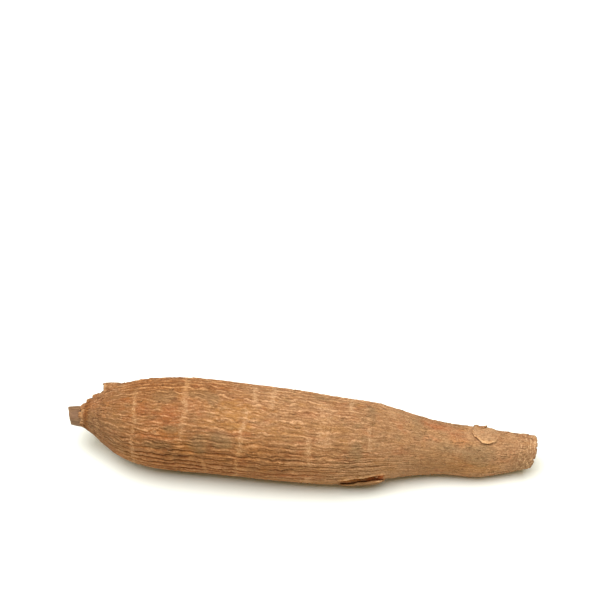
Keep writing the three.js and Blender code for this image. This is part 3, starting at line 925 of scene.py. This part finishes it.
def flesh_material(name):
    """Dried cut flesh: starch goes chalky tan, the woody centre and the inner bark go brown. `wavy`
    is the share of the radius, which noise bends, and its sine draws the rings."""
    material, tree = new_material(name)
    here_mm = object_mm(tree)
    share = add(tree, "ShaderNodeAttribute", attribute_name="share").outputs["Fac"]
    crumb = grain(tree, here_mm, 0.8, 0.8, detail=5, roughness=0.65)
    cloud = grain(tree, here_mm, 4, 4, detail=2)
    wavy = add(tree, "ShaderNodeMath", {0: cloud, 1: 0.08, 2: share}, operation="MULTIPLY_ADD").outputs[0]
    rings = add(tree, "ShaderNodeMath", {0: amount(tree, wavy, 70.0)}, operation="SINE").outputs[0]
    layers = [
        ("#d6b283", (crumb, 0.35, 0.65)),
        ("#9a6c42", (rings, 0.2, 1.0, 0.0, 0.3)),
        ("#8a5c38", (wavy, 0.26, 0.16, 0.0, 0.8)),
        ("#94583a", (wavy, 0.84, 0.88)),
        ("#6b4326", (wavy, 0.98, 1.02)),
    ]
    colour = painted(tree, "#b88b5c", layers)
    finished(name, tree, colour, crumb, strength=0.6, depth=0.3, roughness=0.8, specular=0.3)
    return material


cut_face.data.materials.append(flesh_material("dried_root_flesh"))

# %% [markdown]
# ## Loose bark
# Dry bark curls away from the root wherever it is torn. A strip could be cut from the sleeve and bent
# up with a modifier. Here every loose bit, from the strips at the tail to the smallest flake, is a thin
# blade: a grid of places and angles with a height over the root. One function makes them all. Their
# outer side goes on with the cracks and stains of the place where they grew, because it asks the same
# functions as the sleeve, and their inner side is bare inner bark.


# %% Thin blades
def unit_grid(rows, columns):
    """u along the rows and v across the columns of a grid, both from 0 to 1."""
    return np.linspace(0, 1, rows)[:, None], np.linspace(0, 1, columns)[None, :]


def blade_piece(name, upper, lower, **attributes):
    """Thin blades, each a grid for its upper side and one for its lower side, joined along the edges.
    `upper` and `lower` hold (blade, row, column) points, and each attribute is a pair of such arrays,
    for the upper side and for the lower."""
    count, rows, columns = upper.shape[:3]
    side = rows * columns
    top = grid_faces(rows, columns, closed=False)
    number = np.arange(side).reshape(rows, columns)
    rim = np.concatenate([number[0, :], number[1:, -1], number[-1, -2::-1], number[-2:0:-1, 0]])
    after = np.roll(rim, -1)
    edge = np.stack([rim, rim + side, after + side, after], axis=-1)
    one = np.concatenate([top, top[:, ::-1] + side, edge])
    faces = (one + 2 * side * np.arange(count)[:, None, None]).reshape(-1, 4).tolist()
    points = np.stack([upper, lower], axis=1).reshape(-1, 3)
    spread = {
        key: np.stack(pair, axis=1).reshape(len(points), -1).squeeze() for key, pair in attributes.items()
    }
    return make_piece(name, points, faces, **spread)


print("u of a grid of 3 by 2 points:", unit_grid(3, 2)[0].ravel())

# %% Blades of bark
RELIEF_LEFT = 0.6  # share of the bark's relief that thin loose bits show
OTHER_GRAIN = 40.0  # mm along the bark's grain from the outer side's pattern to the inner side's


def bark_blades(name, at, angle, distance, torn, thickness, bare=0.55, pale=0.0, dirt_and_shade=0.0):
    """A piece of blades `thickness` mm thick, from arrays (row, column) for one or (blade, row, column) for
    many: places along the root, angles and distances from the axis. Rows run along +X and columns from +Y
    over the top. `torn` is how fresh the break looks at each point, `bare` how dark the inner side is,
    `pale` how bleached the outer side is, and the last argument the least earth and painted shade on it."""
    at, angle, distance, torn, thickness, bare = (
        array.reshape(-1, *array.shape[-2:])
        for array in np.broadcast_arrays(at, angle, distance, torn, thickness, bare)
    )
    grown = np.clip(at, BARK_START, LENGTH)
    height, crack, crest = bark_relief(grown, angle)
    outside = distance + RELIEF_LEFT * height
    grown_mm = np.stack([at, *beside(at, angle)], axis=-1)
    stain = stained(grown, angle)
    none = np.zeros(at.shape)
    piece = blade_piece(
        name,
        place(at, angle, outside),
        place(at, angle, outside - thickness),
        grown_mm=(grown_mm, grown_mm + OTHER_GRAIN),
        crack=(crack, none + 0.1),
        crest=(crest * (1 - dirt_and_shade), none),
        scar=(none + pale, none),
        split=(none, bare),
        torn=(torn, none + 0.4 * (1 - dirt_and_shade)),
        stain=(stain, stain),
        soil=(np.maximum(soiled(grown, angle), dirt_and_shade), none + dirt_and_shade),
    )
    piece.data.materials.append(DRY_BARK)
    return piece


# %% [markdown]
# Round the tail the root narrows fast, and the stiff bark did not follow. It tore into short broad
# strips, which keep straight on towards the tail while the root falls away below them.

# %% Strips at the tail
STRIPS = [
    # at its root, middle angle, length, width, hold, turned up, freshness
    (34, 44, 14.8, 22, 0.65, 0.0, 0.0),
    (18.5, 46, 4.7, 10, 0.5, 0.1, 0.0),
    (13.5, 50, 4.0, 7, 0.6, 0.1, 0.2),
    (11, 92, 4.2, 5, 0.2, 0.3, 0.0),
    (11, 132, 4.4, 6, 0.2, 0.2, 0.3),
    (11, 178, 3.6, 5, 0.2, 0.3, 0.0),
    (21, 345, 6.5, 10, 0.7, 0.8, 0.0),
    (31, 318, 9.0, 15, 0.6, 0.2, 0.0),
    (19, 296, 5.5, 8, 0.6, 0.7, 0.0),
    (15, 15, 5.0, 7, 0.6, 0.4, 0.0),
]
STRIP_ROWS, STRIP_COLUMNS = 14, 22


def tail_strips():
    """Strips: along one, u goes from its free end to its root. Its distance from the axis is the
    root's own there plus a share `hold` of how much the root has narrowed since, so that with a hold
    of 1 the strip would be straight. The end is notched by noise and turned up by (1 - u)^3. Its two
    long borders stay down on the root."""
    root, middle, long, wide, hold, upturn, fresh = np.array(STRIPS).T[:, :, None, None]
    u, v = unit_grid(STRIP_ROWS, STRIP_COLUMNS)
    v = v - 0.5
    number = 5.3 * np.arange(len(STRIPS))[:, None, None]
    notch = step(noise(number, 3 * v, 0.5, 91), 0.0, 0.1) + 0.5 * noise(number, 9 * v, 0.5, 92)
    free = 1 - u
    here = root - long * free * (1 - 0.15 * notch)
    turn = np.radians(middle) + v * wide * (1 - 0.15 * free) / along(RADIUS, root)
    own = smooth_radius(np.maximum(here, BARK_START), turn)
    arch = 1 - step(np.abs(2 * v), 0.5, 1.0)
    kept = hold * (smooth_radius(root + 0 * turn, turn) - own) * arch
    rise = kept + upturn * free**3 + 0.3 * noise(number, 3 * free, 5 * v, 93) * free
    sunk = 0.9 * (1 - step(free, 0.0, 0.3)) + 0.4 * (1 - arch)
    torn = np.maximum(0.75 * (1 - step(u, 0.0, 0.12)), fresh * (1 - step(u, 0.4, 0.8)))
    return here, turn, own + rise + 0.35 - sunk, torn


strip_pieces = bark_blades("tail_strips", *tail_strips(), thickness=0.7)

# %% [markdown]
# On the neck a broad thin plate of outer bark has come away. Its right side still sits on the bark; its
# left tip and lower edge stand off it and catch the light, and at its back a sliver has curled up.

# %% The loose plate on the neck
PLATE_EDGES = [
    # at, angle of the back edge, angle of the front edge
    (259, 82, 88),
    (260.2, 60, 96),
    (261.8, 38, 100),
    (265.5, 25, 110),
    (269, 22, 111),
    (273.5, 25, 106),
    (276, 32, 90),
    (279, 44, 62),
]
PLATE_ROWS, PLATE_COLUMNS = 40, 48
CURL_ROWS, CURL_COLUMNS = 20, 12
CURL_FROM, CURL_LENGTH = 260.5, 8.5  # the sliver at the back of the plate
CURL_BACK = 32  # angle of its back edge


def neck_plate():
    """The plate: u runs along the root, v across it from the back edge to the front edge, which are
    nibbled by noise. The height grows with the fifth power of the way to either edge, and towards the
    tailward tip. At its neckward end the plate is still fast."""
    u, v = unit_grid(PLATE_ROWS, PLATE_COLUMNS)
    numbers = np.linspace(0, 1, len(PLATE_EDGES))
    here, back, front = (np.interp(u, numbers, column) for column in np.array(PLATE_EDGES).T)
    nibble = 4.0 * noise(7 * u, 0.5, 0.5, 95) + 4.0 * noise(15 * u, 0.5, 0.5, 96)
    angle = np.radians(back - 2 * nibble + (front - back + 3 * nibble) * v)
    here = here + 0.8 * noise(0.5, 6 * v, 0.5, 97) * (1 - u)
    loose = 1 - step(u, 0.5, 1.0)
    edge = np.maximum(np.abs(2 * v - 1) ** 5, (1 - u) ** 6)
    lift = 0.65 + loose * (0.9 * edge + 0.35 * noise(4 * u, 3 * v, 0.5, 98)) - 1.0 * step(u, 0.62, 0.92)
    # the tailward tip and the front edge are pale, partly as fresh breaks are and partly painted highlight
    # where they stand off and catch the light
    torn = np.maximum(step(v, 0.88, 0.95), 1 - step(u, 0.02, 0.1)) * (1 - step(u, 0.55, 0.85))
    return here, angle, smooth_radius(here, angle) + lift, torn


def plate_curl():
    """The sliver at the back of the plate: fast at its tailward end, it rises with the square of u
    to its free end."""
    u, v = unit_grid(CURL_ROWS, CURL_COLUMNS)
    width = 15 + 17 * np.sin(math.pi * np.clip(0.1 + 0.8 * u, 0, 1)) + 5 * noise(6 * u, 0.5, 0.5, 99)
    angle = np.radians(CURL_BACK + width * v)
    here = CURL_FROM + CURL_LENGTH * u + 0.6 * noise(0.5, 4 * v, 0.5, 100) * u
    lift = 0.7 + 1.5 * u**2 * (0.7 + 0.3 * v)
    return here, angle, smooth_radius(here, angle) + lift, 0.5 * step(v, 0.85, 1.0)


plate_piece = bark_blades("neck_plate", *neck_plate(), thickness=0.55, pale=0.6)
curl_piece = bark_blades("neck_plate_curl", *plate_curl(), thickness=0.5, dirt_and_shade=0.6)

# %% [markdown]
# The lower side of the split is a lip of bark that is still fast along its hinge, under the belly. It
# has sprung off the root as one stiff shell, so that from above a dark gap shows behind its torn edge.

# %% The lip of the split
LIP_ROWS, LIP_COLUMNS = 56, 22
LIP_HINGE, LIP_EDGE = 243, 207  # angles of its hinge and of its free edge
LIP_RISE = 10  # how much higher that edge is towards the neck, in degrees
LIP_LIFT = 2.2  # mm that it stands off the root


def split_lip():
    """The lip: u runs along the root, v from the free edge to the hinge. It leaves the root at the
    hinge and soon runs beside it, as high as the split's bow times the lift, with a chipped edge. It
    is thin at that edge and thicker behind it, where some of the inner bark has come away with it."""
    u, v = unit_grid(LIP_ROWS, LIP_COLUMNS)
    bow = split_bow(u)
    chipped = 1.5 * noise(9 * u, 0.5, 0.5, 101) + 1.5 * step(noise(16 * u, 0.5, 0.5, 102), 0.1, 0.2)
    middle = (LIP_HINGE + LIP_EDGE) / 2
    edge = middle - (middle - LIP_EDGE + LIP_RISE * u + chipped) * bow
    angle = np.radians(edge + (LIP_HINGE - edge) * v)
    here = SPLIT_FROM + (SPLIT_TO - SPLIT_FROM) * u
    wavy = 1 + 0.25 * noise(5 * u, 0.5, 0.5, 103)
    rise = LIP_LIFT * bow * wavy * (1 - step(v, 0.4, 1.0)) - 1.3 * step(v, 0.75, 1.0)
    torn = (0.25 + 0.75 * step(u, 0.74, 0.86)) * (1 - step(v, 0.05, 0.2))
    thickness = 0.8 + 1.3 * step(v, 0.02, 0.3) * bow
    return here, angle, smooth_radius(here, angle) + rise + 0.45, torn, thickness, step(v, 0.0, 0.12)


# painted shade with soil darkens the lip, which faces down into the shadow under the belly
lip_piece = bark_blades("split_lip", *split_lip(), dirt_and_shade=0.7)

# %% [markdown]
# Everywhere else the outermost layer lifts in flakes the size of a grain of rice, each with one end or
# one side up. They break up the outline and the light. A particle system could scatter them, but a
# seeded draw gives arrays that the blades can use. A fifth of the flakes are set on the neck.

# %% Small flakes
FLAKES = 520
FLAKE_ROWS, FLAKE_COLUMNS = 4, 3
draw = np.random.default_rng(7)
flake_at = draw.uniform(14, 296, FLAKES)
flake_at[: FLAKES // 5] = draw.uniform(215, 299, FLAKES // 5)
flake_angle = draw.uniform(0, 2 * math.pi, FLAKES)
flake_long = draw.uniform(1.6, 4.6, FLAKES)
flake_wide = draw.uniform(0.7, 1.8, FLAKES)
flake_lift = draw.uniform(0.1, 0.45, FLAKES) * (1 - 0.5 * step(flake_at, 190, 225))
flake_lean = draw.uniform(-1, 1, FLAKES)


def small_flakes():
    """Flakes: the height rises towards one end and one side, and the width swells in the middle, which
    gives each a lens shape."""
    u, v = (share - 0.5 for share in unit_grid(FLAKE_ROWS, FLAKE_COLUMNS))
    long, wide, lift, lean = (x[:, None, None] for x in (flake_long, flake_wide, flake_lift, flake_lean))
    here = np.clip(flake_at[:, None, None] + long * u, BARK_START + 1, LENGTH - 0.5)
    radius = along(RADIUS, flake_at)[:, None, None]
    angle = flake_angle[:, None, None] + v * wide * (1 - 2.4 * u * u) / radius
    tipped = lift * np.clip(0.35 + lean * u * 2 + (1 - np.abs(lean)) * v, 0, 1.4)
    return here, angle, smooth_radius(here, angle) + 0.25 + tipped, 0.5 * step(tipped / lift, 0.6, 1.2)


flake_pieces = bark_blades("bark_flakes", *small_flakes(), thickness=0.3, bare=0.0)

# %% [markdown]
# ## The floor, the light and the camera
# The root lies on a plain white surface under a large soft light from above and a little in front. A
# second light from below could show the belly's underside, but the white surface already throws enough
# light back on it.

# %% White surface
REACH = 4000  # mm to each side

corners = REACH * np.array([(-1, -1, 0), (1, -1, 0), (1, 1, 0), (-1, 1, 0)])
floor = make_piece("white_surface", corners, [(0, 1, 2, 3)])
paper, tree = new_material("white_paper")
shader = add(tree, "ShaderNodeBsdfPrincipled", {"Base Color": "#f5f7f3", "Roughness": 0.9})
add(tree, "ShaderNodeOutputMaterial", {"Surface": shader.outputs[0]})
floor.data.materials.append(paper)

# %% Soft light and pale surroundings
WARM = (1.0, 0.92, 0.5, 1.0)  # what the room behind the softbox throws back, linear
COOL = (0.965, 0.985, 1.0)

light = bpy.data.lights.new("softbox", "AREA")
light.shape = "RECTANGLE"
light.size, light.size_y = 1.4, 1.2
light.energy = 27.3
light.color = COOL
softbox = put_in_scene("softbox", light)
softbox.location = (-0.14, -0.08, 1.1)
softbox.rotation_euler = (math.radians(10), math.radians(-5), 0)
world = bpy.data.worlds.new("pale_studio")
bpy.context.scene.world = world
world.use_nodes = True
background = world.node_tree.nodes["Background"]
background.inputs["Color"].default_value = WARM
background.inputs["Strength"].default_value = 0.3
bpy.context.scene.view_settings.view_transform = "Standard"
print("softbox:", round(light.size, 2), "by", round(light.size_y, 2), "m,", round(light.energy, 1), "W")

# %% Camera
AZIMUTH, ELEVATION = math.radians(4), math.radians(50)
DISTANCE = 0.9  # metres from the camera to the point it is set on
TARGET = Vector((0.0011, -0.00015, 0.015))
FOCAL = 1386  # focal length in pixels
IMAGE = 600  # width and height of the image in pixels
TARGET_PIXEL = (301, 446.6)  # where TARGET lies in the image, from its top left corner

upright = Matrix.Rotation(AZIMUTH, 3, "Z") @ Matrix.Rotation(math.pi / 2 - ELEVATION, 3, "X")
sideways, upwards, away = upright.col
pitch = math.atan((TARGET_PIXEL[1] - IMAGE / 2) / FOCAL)
yaw = math.atan((TARGET_PIXEL[0] - IMAGE / 2) / FOCAL)
pointing = Matrix.Rotation(yaw, 3, upwards) @ Matrix.Rotation(pitch, 3, sideways) @ upright
lens = bpy.data.cameras.new("camera")
lens.sensor_width = 36
lens.lens = lens.sensor_width * FOCAL / IMAGE
print("lens, mm:", round(lens.lens, 1))
camera = put_in_scene("camera", lens)
camera.matrix_world = Matrix.Translation(TARGET + DISTANCE * away) @ pointing.to_4x4()
bpy.context.scene.camera = camera

# %% [markdown]
# ## Handing the pieces over
# Every piece belongs to the root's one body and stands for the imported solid.

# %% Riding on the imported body
for piece, slot in (
    (bark_sleeve, "bark"),
    (woody_stub, "stub"),
    (cut_face, "flesh"),
    (strip_pieces, "bark"),
    (plate_piece, "bark"),
    (curl_piece, "bark"),
    (lip_piece, "bark"),
    (flake_pieces, "bark"),
):
    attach(piece, "root")
    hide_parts("cassava_root")
